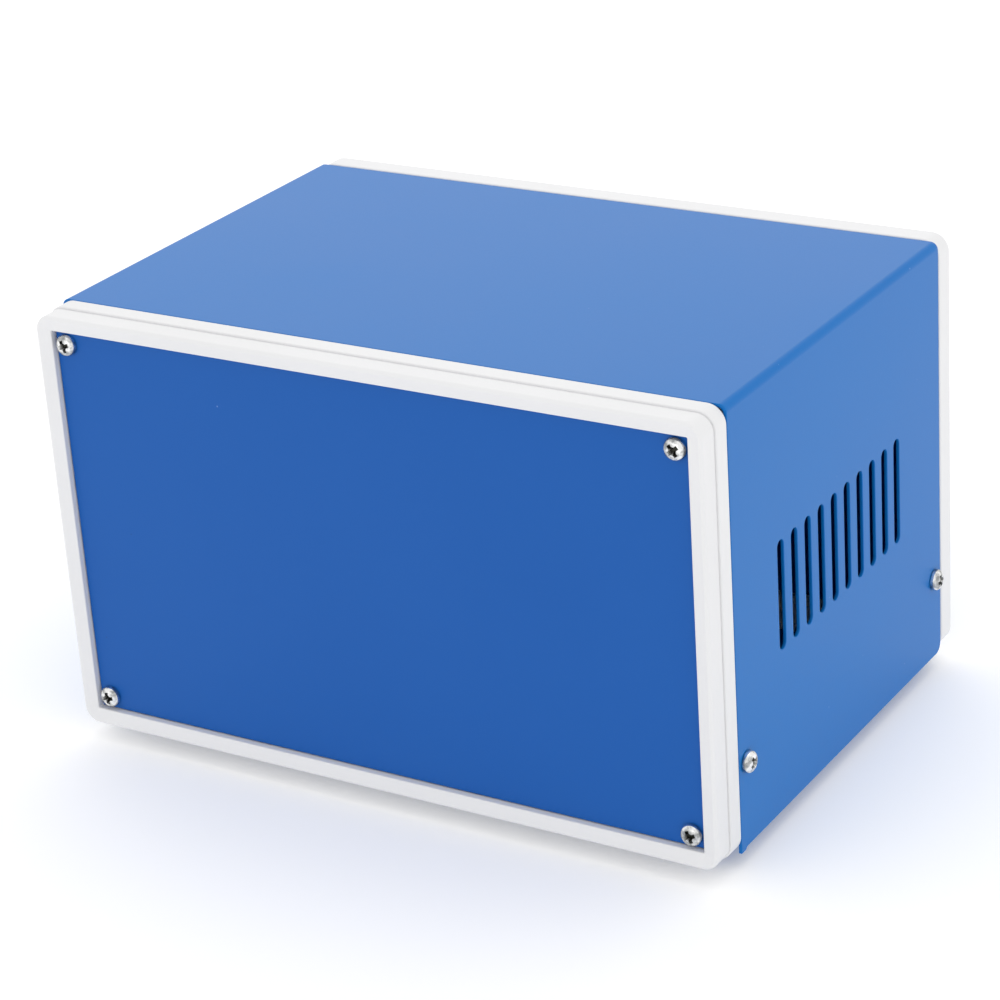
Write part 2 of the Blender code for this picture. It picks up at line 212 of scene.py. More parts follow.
def surface(name, build, sockets):  # sockets are those that are the same all over
    material = bpy.data.materials.new(name)
    material.use_nodes = True
    graph = Graph(material.node_tree)
    shader = graph.add("ShaderNodeBsdfPrincipled", None, sockets)
    graph.add("ShaderNodeOutputMaterial", None, {"Surface": shader})
    coords = graph.add("ShaderNodeTexCoord").out("Object")
    for socket, wire in build(graph, coords).items():
        graph.tree.links.new(wire.socket, shader.node.inputs[socket])
    return material


def noise(graph, coords, scale, detail=2.0, roughness=0.5):
    inputs = {"Vector": coords, "Scale": scale, "Detail": detail, "Roughness": roughness}
    return graph.add("ShaderNodeTexNoise", None, inputs)


def specks(graph, coords, cell, size, share):  # a few round grains, in some cells of a loose grid
    inputs = {"Vector": coords, "Scale": 1.0 / cell}
    spots = graph.add("ShaderNodeTexVoronoi", {"feature": "F1"}, inputs)
    chosen = graph.add("ShaderNodeSeparateColor", None, {"Color": spots.out("Color")})
    return (spots.out("Distance") < size / cell) * (chosen.out("Red") < share)


def bump(graph, height, distance, strength=1.0, under=None):
    inputs = {"Strength": strength, "Distance": distance, "Height": height}
    if under:
        inputs["Normal"] = under
    return graph.add("ShaderNodeBump", None, inputs)


bluePaint = {
    "colour": (0.003, 0.147, 0.484),
    "pale": (0.005, 0.159, 0.505),
    "dust": (0.20, 0.33, 0.62),
    "pit": (0.008, 0.06, 0.24),
    "roughness": 0.32,
    "peel": 0.9 * mm,
    "dustGrains": (9 * mm, 0.22 * mm, 0.16),  # a cell's width, a grain's size, share of the cells
    "pits": (13 * mm, 0.2 * mm, 0.12),
}


def paint(look):
    def build(graph, coords):
        clouds = noise(graph, coords, 22.0, 3.0)
        peel = noise(graph, coords, 1.0 / look["peel"], 1.5)
        grain = noise(graph, coords, 5200.0, 1.0)
        dust = specks(graph, coords, *look["dustGrains"])
        pits = specks(graph, coords, *look["pits"])
        colour = graph.mixColours(clouds, look["colour"], look["pale"])
        colour = graph.mixColours(dust * 0.7, colour, look["dust"])
        colour = graph.mixColours(pits * 0.8, colour, look["pit"])
        roughness = look["roughness"] + (clouds - 0.5) * 0.06 + (grain - 0.5) * 0.08 + dust * 0.2
        skin = bump(graph, peel, 0.012 * mm, 0.6)
        skin = bump(graph, grain * 0.4 + dust * 1.5 - pits * 1.5, 0.008 * mm, 0.7, skin)
        return {"Base Color": colour, "Roughness": roughness, "Normal": skin}
    return build


coverBlue = surface("coverBlue", paint(bluePaint),
                    sockets={"Metallic": 0.0, "IOR": 1.5, "Specular IOR Level": 0.19})
panelPaint = dict(bluePaint, colour=(0.004, 0.093, 0.388), pale=(0.007, 0.101, 0.404), roughness=0.4)
panelBlue = surface("panelBlue", paint(panelPaint),
                    sockets={"Metallic": 0.0, "IOR": 1.5, "Specular IOR Level": 0.2})

whiteMoulding = {
    "colour": (0.80, 0.80, 0.81),
    "shade": (0.76, 0.76, 0.765),
    "speck": (0.35, 0.33, 0.30),
    "roughness": 0.42,
    "specks": (12 * mm, 0.14 * mm, 0.10),
}


def moulded(look):
    def build(graph, coords):
        clouds = noise(graph, coords, 30.0, 2.0)
        grain = noise(graph, coords, 2600.0, 2.0)
        dirt = specks(graph, coords, *look["specks"])
        colour = graph.mixColours(clouds, look["colour"], look["shade"])
        colour = graph.mixColours(dirt * 0.6, colour, look["speck"])
        roughness = look["roughness"] + (clouds - 0.5) * 0.08 + (grain - 0.5) * 0.1
        return {"Base Color": colour, "Roughness": roughness,
                "Normal": bump(graph, grain, 0.02 * mm, 0.5)}
    return build


frameWhite = surface("frameWhite", moulded(whiteMoulding), sockets={"Metallic": 0.0, "IOR": 1.49})

screwPlating = {
    "bright": (0.88, 0.88, 0.87),
    # painted reflection: a dark grey for patches that stand in for dark surroundings seen in the
    # chrome
    "dull": (0.30, 0.31, 0.31),
    # painted shade: a near-black for the cross recess, where shade falls
    "grime": (0.05, 0.05, 0.042),
    "roughness": 0.14,
    # painted reflection: where the noise puts the dark patches
    "facets": [(0.40, (1, 1, 1)), (0.56, (0.25, 0.25, 0.25)), (0.66, (0, 0, 0))],
}


def plated(look):
    def build(graph, coords):
        haze = noise(graph, coords, 520.0, 2.0)
        # painted reflection: noise made into dark patches on the bright plating
        facets = graph.add("ShaderNodeValToRGB", {"stops": look["facets"]}, {"Fac": haze})
        scuffs = noise(graph, coords, 6000.0, 2.0)
        # painted shade: the cavity mask is 1 deep in the recess and 0 on the dome
        cavity = graph.add("ShaderNodeAttribute", {"attribute_name": "cavity"}).out("Fac")
        colour = graph.mixColours(facets, look["dull"], look["bright"])
        # painted shade: the colour goes near-black down in the recess
        colour = graph.mixColours(cavity, colour, look["grime"])
        roughness = look["roughness"] + haze * 0.1 + cavity * 0.25
        return {"Base Color": colour, "Roughness": roughness,
                "Normal": bump(graph, scuffs, 0.004 * mm, 0.5)}
    return build


screwBright = surface("screwBright", plated(screwPlating), sockets={"Metallic": 1.0})


zincPlating = {
    "warm": (0.70, 0.69, 0.66),
    "cool": (0.55, 0.56, 0.55),
    "roughness": 0.28,
    "brushing": (300.0, 300.0, 9000.0),
}


def zinced(look):
    def build(graph, coords):
        haze = noise(graph, coords, 500.0, 3.0)
        brushed = graph.add("ShaderNodeMapping", None, {"Vector": coords, "Scale": look["brushing"]})
        lines = noise(graph, brushed, 1.0, 2.0)
        colour = graph.mixColours(haze, look["warm"], look["cool"])
        return {"Base Color": colour, "Roughness": look["roughness"] + lines * 0.2,
                "Normal": bump(graph, lines, 0.006 * mm, 0.6)}
    return build


nutZinc = surface("nutZinc", zinced(zincPlating), sockets={"Metallic": 1.0})

blackRubber = {
    "colour": (0.016, 0.016, 0.017),
    "bloom": (0.034, 0.033, 0.032),
    "roughness": 0.7,
}


def rubbery(look):
    def build(graph, coords):
        grain = noise(graph, coords, 2200.0, 3.0)
        bloom = noise(graph, coords, 160.0, 2.0)
        colour = graph.mixColours(bloom, look["colour"], look["bloom"])
        return {"Base Color": colour, "Roughness": look["roughness"] + bloom * 0.2,
                "Normal": bump(graph, grain, 0.03 * mm, 0.6)}
    return build


footRubber = surface("footRubber", rubbery(blackRubber), sockets={"Metallic": 0.0, "IOR": 1.45})
print("finishes made")


# sheet pieces: punched flat from an outline, then folded

def sheetTree():
    t = ShapeTree("punchedSheet", gauge="float", edgeRound="float", slotCount="int",
                  slotWidth="float", slotLength="float", slotPitch="float", slotAcross="float",
                  slotMiddle="float", material="material")
    gauge, edgeRound = t.size("gauge"), t.size("edgeRound")
    bore = t.add("GeometryNodeInputNamedAttribute", {"data_type": "FLOAT"}, {"Name": "bore"})
    isBore = t.add("FunctionNodeCompare", {"data_type": "FLOAT", "operation": "GREATER_THAN"},
                   {"A": bore, "B": 0.0})
    parted = t.add("GeometryNodeSeparateGeometry", {"domain": "POINT"},
                   {"Geometry": t.start.out("Geometry"), "Selection": isBore})
    outline = t.add("GeometryNodeMeshToCurve", None, {"Mesh": parted.out("Inverted")})
    circle = t.add("GeometryNodeCurvePrimitiveCircle", None, {"Resolution": 32, "Radius": 1.0})
    across = bore + edgeRound
    holes = t.add("GeometryNodeInstanceOnPoints", None,
                  {"Points": parted.out("Selection"), "Instance": circle,
                   "Scale": t.vector(across, across, 1.0)})
    slotWidth, pitch, count = t.size("slotWidth"), t.size("slotPitch"), t.size("slotCount")
    slot = t.add("GeometryNodeCurvePrimitiveQuadrilateral", None,
                 {"Width": t.size("slotLength") + edgeRound * 2, "Height": slotWidth + edgeRound * 2})
    slot = t.add("GeometryNodeFilletCurve", {"mode": "POLY"},
                 {"Curve": slot, "Count": 9, "Radius": (slotWidth / 2 + edgeRound) * 0.998})
    cut = [holes]
    for side in (-1, 1):
        first = t.vector(t.size("slotAcross") * side,
                         t.size("slotMiddle") - (count - 1) / 2 * pitch, 0.0)
        row = t.add("GeometryNodeMeshLine", {"mode": "OFFSET"},
                    {"Count": count, "Start Location": first, "Offset": t.vector(0.0, pitch, 0.0)})
        cut.append(t.add("GeometryNodeInstanceOnPoints", None, {"Points": row, "Instance": slot}))
    cut = t.add("GeometryNodeJoinGeometry", None, {"Geometry": cut})
    cut = t.add("GeometryNodeRealizeInstances", None, {"Geometry": cut})
    cut = t.add("GeometryNodeReverseCurve", None, {"Curve": cut})
    lines = t.add("GeometryNodeJoinGeometry", None, {"Geometry": [outline, cut]})
    fill = t.add("GeometryNodeFillCurve", None, {"Curve": lines})
    upper = t.add("GeometryNodeTransform", None,
                  {"Geometry": fill, "Translation": t.vector(0.0, 0.0, gauge / 2)})
    lower = t.add("GeometryNodeTransform", None,
                  {"Geometry": fill, "Translation": t.vector(0.0, 0.0, gauge * -0.5)})
    lower = t.add("GeometryNodeFlipFaces", None, {"Mesh": lower})
    # the edge's section: a half circle, parted in its middle to the sheet's gauge
    section = t.add("GeometryNodeCurveArc", {"mode": "RADIUS"},
                    {"Resolution": 10, "Radius": edgeRound, "Start Angle": -math.pi / 2,
                     "Sweep Angle": math.pi})
    y = t.split(t.add("GeometryNodeInputPosition"))[1]
    parting = y.math("SIGN") * (gauge / 2 - edgeRound)
    section = t.add("GeometryNodeSetPosition", None,
                    {"Geometry": section, "Offset": t.vector(0.0, parting, 0.0)})
    upright = t.add("GeometryNodeSetCurveNormal", {"mode": "Z_UP"}, {"Curve": lines})
    edges = t.add("GeometryNodeCurveToMesh", None, {"Curve": upright, "Profile Curve": section})
    whole = t.add("GeometryNodeJoinGeometry", None, {"Geometry": [upper, lower, edges]})
    whole = t.add("GeometryNodeMergeByDistance", None, {"Geometry": whole, "Distance": weld})
    return t.close(whole)


punchedSheet = sheetTree()


def arcPoints(cx, cy, radius, start, end, steps):
    out = []
    for i in range(steps + 1):
        a = math.radians(start + (end - start) * i / steps)
        out.append((cx + radius * math.cos(a), cy + radius * math.sin(a)))
    return out


def inset(points, distance):  # a closed outline, anticlockwise, moved inwards
    out = []
    for i, here in enumerate(points):
        p, q, r = (Vector(v) for v in (points[i - 1], here, points[(i + 1) % len(points)]))
        before, after = (q - p).normalized(), (r - q).normalized()
        left = Vector((-before.y, before.x)) + Vector((-after.y, after.x))
        out.append(tuple(q + left * (distance * 2 / left.dot(left))))
    return out


def sheetSeed(outline, bores, edgeRound):
    points = inset(outline, edgeRound)
    mesh = bpy.data.meshes.new("sheetSeed")
    spots = [(x, y) for x, y, radius in bores]
    edges = [(i, (i + 1) % len(points)) for i in range(len(points))]
    mesh.from_pydata([(x, y, 0.0) for x, y in points + spots], edges, [])
    bore = mesh.attributes.new("bore", "FLOAT", "POINT")
    bore.data.foreach_set("value", [0.0] * len(points) + [radius for x, y, radius in bores])
    return mesh


def faceOutwards(bm):
    bmesh.ops.recalc_face_normals(bm, faces=bm.faces)
    if bm.calc_volume(signed=True) < 0:
        bmesh.ops.reverse_faces(bm, faces=bm.faces)


def turnOutwards(mesh):
    bm = bmesh.new()
    bm.from_mesh(mesh)
    faceOutwards(bm)
    bm.to_mesh(mesh)
    bm.free()


def fold(piece, size, outerLevel, direction):  # both sides turned up (1) or down (-1)
    flat, radius, gauge, steps = size["flatHalf"], size["bend"], size["gauge"], size["bendSteps"]
    reach = radius * math.pi / 2
    bm = bmesh.new()
    bm.from_mesh(piece.data)
    for side in (-1, 1):
        for i in range(steps + 1):
            line = (side * (flat + reach * i / steps), 0, 0)
            bmesh.ops.bisect_plane(bm, geom=bm.verts[:] + bm.edges[:] + bm.faces[:],
                                   plane_co=line, plane_no=(1, 0, 0), dist=weld / 4)
    for v in bm.verts:
        side = 1 if v.co.x > 0 else -1
        past, depth = abs(v.co.x) - flat, gauge / 2 - v.co.z
        if past <= 0:
            x, z = v.co.x, depth
        elif past < reach:
            turn = past / radius
            x = side * (flat + (radius - depth) * math.sin(turn))
            z = radius - (radius - depth) * math.cos(turn)
        else:
            x, z = side * (flat + radius - depth), radius + past - reach
        v.co = (x, v.co.y, outerLevel + direction * z)
    faceOutwards(bm)
    bm.to_mesh(piece.data)
    bm.free()


cover = {
    "gauge": 1.0 * mm,
    "bend": 2.2 * mm,
    "bendSteps": 14,
    "edgeRound": 0.22 * mm,
    "rearCorner": 3.0 * mm,
    "toeLength": 2.3 * mm,
    "toeDrop": 0.7 * mm,
    "slotCount": 10,
    "slotWidth": 3.6 * mm,
    "slotLength": 30.4 * mm,
    "slotPitch": 7.73 * mm,
    "slotForward": 1.0 * mm,
    "slotDrop": 0.45 * mm,
    "screwInset": 4.3 * mm,
    "screwHeight": 24.0 * mm,
    "screwHole": 1.75 * mm,
}


def makeCover(size):
    size["flatHalf"] = coverHigh.x - size["bend"]
    sideTop = size["flatHalf"] + size["bend"] * math.pi / 2  # across the flat sheet
    fallen = coverTop - size["bend"]  # height of the side's top

    def acrossAt(height):
        return sideTop + fallen - height

    edge, toe = acrossAt(lowerEdge), acrossAt(lowerEdge - size["toeDrop"])
    corner = size["rearCorner"]
    right = [(toe, frontEdge), (toe, frontEdge + size["toeLength"]),
             (edge, frontEdge + size["toeLength"] + size["toeDrop"])]
    right += arcPoints(edge - corner, rearEdge - corner, corner, 0, 90, 8)
    left = [(-x, y) for x, y in reversed(right)]
    rows = (frontEdge + size["screwInset"], rearEdge - size["screwInset"])
    spot = acrossAt(lowerEdge + size["screwHeight"])
    bores = [(side * spot, y, size["screwHole"]) for side in (-1, 1) for y in rows]
    sizes = {name: size[name] for name in ("gauge", "edgeRound", "slotCount", "slotWidth",
                                           "slotLength", "slotPitch")}
    sizes.update(slotAcross=acrossAt(midHeight - size["slotDrop"]),
                 slotMiddle=(frontEdge + rearEdge) / 2 - size["slotForward"], material=coverBlue)
    piece = grow("foldedCover", punchedSheet, sizes, sheetSeed(right + left, bores, size["edgeRound"]))
    fold(piece, size, coverTop, -1)
    return piece


def stand(piece, body, slot, *nodes, angle=32):  # finished: smooth, riding, in its CAD nodes' place
    tidyShading(piece, angle)
    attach(piece, body)
    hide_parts(*nodes)
    print(piece.name, "made,", len(piece.data.polygons), "faces")


stand(makeCover(cover), "case", "blue_paint", "top_cover")

tray = {
    "gauge": 1.0 * mm,
    "bend": 2.0 * mm,
    "bendSteps": 8,
    "edgeRound": 0.18 * mm,
    "notchAcross": 0.5 * mm,  # the notch starts inside the bend
    "notchLength": 9.1 * mm,
    "screwHole": 1.75 * mm,
}


def centreOf(node):
    low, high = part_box(node)
    return (low + high) / 2


def makeTray(size):
    size["flatHalf"] = trayHigh.x - size["bend"]
    flange = size["flatHalf"] + size["bend"] * math.pi / 2 + trayHigh.z - trayLow.z - size["bend"]
    notched, notch = size["flatHalf"] - size["notchAcross"], size["notchLength"]
    right = [(notched, trayLow.y), (notched, trayLow.y + notch), (flange, trayLow.y + notch),
             (flange, trayHigh.y - notch), (notched, trayHigh.y - notch), (notched, trayHigh.y)]
    left = [(-x, y) for x, y in reversed(right)]
    bores = []
    for name in frame["nodes"]:
        if name.startswith(("tray_screw", "foot_screw")):
            middle = centreOf(name)
            bores.append((middle.x, middle.y, size["screwHole"]))
    sizes = {"gauge": size["gauge"], "edgeRound": size["edgeRound"], "slotCount": 0,
             "material": coverBlue}
    piece = grow("foldedTray", punchedSheet, sizes, sheetSeed(right + left, bores, size["edgeRound"]))
    fold(piece, size, trayLow.z, 1)
    return piece


stand(makeTray(tray), "case", "blue_paint", "bottom_tray")

panel = {
    "gauge": 1.5 * mm,
    "edgeRound": 0.2 * mm,
    "corner": 0.5 * mm,
    "screwHole": 1.75 * mm,
}


def makePanel(size, node, facing):
    low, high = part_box(node)
    halfWide, halfTall, corner = high.x, (high.z - low.z) / 2, size["corner"]
    outline = []
    for sx, sy, start in ((1, 1, 0), (-1, 1, 90), (-1, -1, 180), (1, -1, 270)):
        outline += arcPoints(sx * (halfWide - corner), sy * (halfTall - corner), corner,
                             start, start + 90, 3)
    spot = centreOf(node + "_screw_top_right") - centreOf(node)
    bores = [(sx * spot.x, sz * spot.z, size["screwHole"]) for sx in (-1, 1) for sz in (-1, 1)]
    sizes = {"gauge": size["gauge"], "edgeRound": size["edgeRound"], "slotCount": 0,
             "material": panelBlue}
    name = "frontPlate" if facing < 0 else "rearPlate"
    piece = grow(name, punchedSheet, sizes, sheetSeed(outline, bores, size["edgeRound"]))
    turn = Matrix.Rotation(math.pi / 2, 4, "X")  # its upper face to the front
    if facing > 0:
        turn = Matrix.Rotation(math.pi, 4, "Z") @ turn
    piece.data.transform(Matrix.Translation(centreOf(node)) @ turn)
    return piece


stand(makePanel(panel, "front_panel", -1), "front_panel", "blue_panel", "front_panel")
stand(makePanel(panel, "rear_panel", 1), "rear_panel", "blue_panel", "rear_panel")


# moulded end frames: a section taken round the case, with screw bosses behind

def frameTree():
    t = ShapeTree("mouldedFrame", width="float", height="float", corner="float",
                  smallCorner="float", cornerSteps="int", edge="float", facing="float",
                  middle="float", material="material")
    section, steps = t.start.out("Geometry"), t.size("cornerSteps")
    columns = t.add("GeometryNodeAttributeDomainSize", None, {"Geometry": section})
    rows = (steps + 1) * 4
    grid = t.add("GeometryNodeMeshGrid", None, {"Size X": columns, "Size Y": rows,
                                                "Vertices X": columns + 1, "Vertices Y": rows + 1})
    x, y = t.split(t.add("GeometryNodeInputPosition"))[:2]
    column = (x + columns / 2).math("ROUND").math("MODULO", columns)
    row = (y + rows / 2).math("ROUND").math("MODULO", rows)
    here = t.add("GeometryNodeSampleIndex", {"data_type": "FLOAT_VECTOR", "domain": "POINT"},
                 {"Geometry": section, "Value": t.add("GeometryNodeInputPosition"),
                  "Index": column})
    inward, out = t.split(here)[:2]
    radius = (t.size("corner") - inward).math("MAXIMUM", t.size("smallCorner"))
    quarter = (row / (steps + 1)).math("FLOOR")
    angle = (quarter + (row - quarter * (steps + 1)) / steps) * (math.pi / 2)
    middle = (quarter + 0.5) * (math.pi / 2)
    across = middle.math("COSINE").math("SIGN") * (t.size("width") / 2 - inward - radius)
    upwards = middle.math("SINE").math("SIGN") * (t.size("height") / 2 - inward - radius)
    place = t.vector(across + radius * angle.math("COSINE"),
                     t.size("edge") + t.size("facing") * out,
                     t.size("middle") + upwards + radius * angle.math("SINE"))
    ring = t.add("GeometryNodeSetPosition", None, {"Geometry": grid, "Position": place})
    ring = t.add("GeometryNodeMergeByDistance", None, {"Geometry": ring, "Distance": weld})
    return t.close(ring)


mouldedFrame = frameTree()

endFrame = {
    "gap": 0.3 * mm,  # to the sheet, and round the panel
    "rimProud": 0.2 * mm,
    "rimEdge": 0.8 * mm,
    "rimBackEdge": 0.5 * mm,
    "noseDepth": 6.8 * mm,
    "noseInset": 0.45 * mm,
    "noseEdge": 1.0 * mm,
    "groove": 0.3 * mm,  # cut in beside the rim
    "grooveSlope": 1.6,  # its length along the nose to its depth
    "openingEdge": 0.35 * mm,
    "wall": 4.35 * mm,
    "dish": 0.95 * mm,  # the opening's edge lies this far behind the front
    "corner": 5.0 * mm,
    "smallCorner": 0.4 * mm,
    "seatWidth": 3.0 * mm,
    "seatThickness": 2.0 * mm,
    "skirtInset": 1.3 * mm,
    "skirtWall": 2.0 * mm,
    "cornerSteps": 14,
    "boss": 7.0 * mm,
    "bossReach": 7.0 * mm,
    "bossRoot": 0.5 * mm,
    "threadHole": 1.65 * mm,
    "panelDrill": 6.0 * mm,  # how much longer the drills are than the bosses
    "sideDrill": 8.0 * mm,
}


def frameSection(size, rimDepth, noseDepth, seat, skirt):
    rimFace = size["gap"] + rimDepth
    face = rimFace + noseDepth
    proud, back, rim = size["rimProud"], size["rimBackEdge"], size["rimEdge"]
    nose, edge, opening = size["noseInset"], size["noseEdge"], size["openingEdge"]
    inner = nose - proud + size["wall"]
    cavity = size["skirtInset"] + size["skirtWall"]
    section = [(size["skirtInset"], -skirt), (size["skirtInset"], size["gap"])]
    section += arcPoints(back - proud, size["gap"] + back, back, 270, 180, 5)
    if noseDepth > 0:
        rim, groove = min(rim, 0.9 * nose), size["groove"]  # the rim's edge ends short of the nose
        section += arcPoints(rim - proud, rimFace - rim, rim, 180, 90, 6)
        section += [(nose - proud + groove, rimFace),
                    (nose - proud, rimFace + groove * size["grooveSlope"])]
        section += arcPoints(nose - proud + edge, face - edge, edge, 180, 90, 9)
    else:
        section += arcPoints(rim - proud, face - rim, rim, 180, 90, 7)
    section += arcPoints(inner - opening, face - size["dish"] - opening, opening, 90, 0, 4)
    window = inner + size["seatWidth"]
    section += [(inner, seat), (window, seat), (window, seat - size["seatThickness"]),
                (cavity, seat - size["seatThickness"]), (cavity, -skirt)]
    return section


def block(bm, low, high):
    size = [h - l for l, h in zip(low, high)]
    middle = [(h + l) / 2 for l, h in zip(low, high)]
    place = Matrix.Translation(middle) @ Matrix.Diagonal((*size, 1.0))
    bmesh.ops.create_cube(bm, size=1.0, matrix=place)


def rod(bm, middle, axis, length, radius):
    turn = Vector(axis).to_track_quat("Z", "Y").to_matrix().to_4x4()
    bmesh.ops.create_cone(bm, cap_ends=True, segments=32, radius1=radius, radius2=radius,
                          depth=length, matrix=Matrix.Translation(middle) @ turn)


def combine(piece, operation, bm):  # a Boolean with a helper mesh that isn't kept
    helper = bpy.data.objects.new(piece.name + operation, bpy.data.meshes.new("helper"))
    bm.to_mesh(helper.data)
    bm.free()
    scene.collection.objects.link(helper)
    modifier = piece.modifiers.new(operation, "BOOLEAN")
    modifier.operation, modifier.solver, modifier.object = operation, "EXACT", helper
    name = piece.name
    piece.name = name + "Blank"
    result = settle(piece, name)
    bpy.data.objects.remove(helper, do_unlink=True)
    return result


def makeFrame(size, node, panelNode, edge, facing, rimDepth, noseDepth):
    low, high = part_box(node)
    panelBack = centreOf(panelNode).y - facing * panel["gauge"] / 2
    seat = facing * (panelBack - edge) - size["gap"]
    skirt = facing * (edge - (high.y if facing < 0 else low.y))
    section = frameSection(size, rimDepth, noseDepth, seat, skirt)
    seed = bpy.data.meshes.new("frameSection")
    seed.from_pydata([(x, y, 0.0) for x, y in section], [], [])
    sizes = {"width": 2 * coverHigh.x, "height": coverTop - lowerEdge,
             "corner": size["corner"] - size["rimProud"], "smallCorner": size["smallCorner"],
             "cornerSteps": size["cornerSteps"], "edge": edge, "facing": float(facing),
             "middle": midHeight, "material": frameWhite}
    label = "front" if facing < 0 else "rear"
    piece = grow(label + "Moulding", mouldedFrame, sizes, seed)
    turnOutwards(piece.data)

    # bosses for the panel's, the cover's and the tray's screws, rooted in the skirt
    root = size["skirtInset"] + size["skirtWall"] - size["bossRoot"]
    wallX, wallZ = coverHigh.x - root, (coverTop - lowerEdge) / 2 - root
    half, reach = size["boss"] / 2, size["bossReach"]
    spot = centreOf(panelNode + "_screw_top_right") - centreOf(panelNode)
    ends = sorted((edge + facing * (seat - size["seatThickness"] / 2),
                   edge + facing * (seat - reach)))
    bosses, holes = bmesh.new(), bmesh.new()
    for sx in (-1, 1):
        for sz in (-1, 1):
            xs = sorted((sx * (spot.x - half), sx * wallX))
            zs = sorted((midHeight + sz * (spot.z - half), midHeight + sz * wallZ))
            block(bosses, (xs[0], ends[0], zs[0]), (xs[1], ends[1], zs[1]))
            rod(holes, (sx * spot.x, sum(ends) / 2, midHeight + sz * spot.z), (0, 1, 0),
                reach + size["panelDrill"], size["threadHole"])
        side = "left" if sx < 0 else "right"
        at = centreOf(f"cover_screw_{side}_{label}")
        xs = sorted((sx * (wallX - reach), sx * wallX))
        block(bosses, (xs[0], at.y - half, at.z - half), (xs[1], at.y + half, at.z + half))
        rod(holes, (sx * (coverHigh.x - reach / 2), at.y, at.z), (1, 0, 0),
            reach + size["sideDrill"], size["threadHole"])
        at = centreOf(f"tray_screw_{label}_{side}")
        floor = midHeight - wallZ
        block(bosses, (at.x - half, at.y - half, floor), (at.x + half, at.y + half, floor + reach))
        rod(holes, (at.x, at.y, floor + reach / 2), (0, 0, 1),
            reach + size["sideDrill"], size["threadHole"])
    piece = combine(piece, "UNION", bosses)
    return combine(piece, "DIFFERENCE", holes)


frontDepth, rearDepth = frontEdge - frontFace, rearFace - rearEdge
stand(makeFrame(endFrame, "front_frame", "front_panel", frontEdge, -1,
                frontDepth - endFrame["noseDepth"] - endFrame["gap"], endFrame["noseDepth"]),
      "case", "white_moulding", "front_frame")
stand(makeFrame(endFrame, "rear_frame", "rear_panel", rearEdge, 1,
                rearDepth - endFrame["gap"], 0.0),
      "case", "white_moulding", "rear_frame")


# screws: a pan head with a cross recess, and its thread

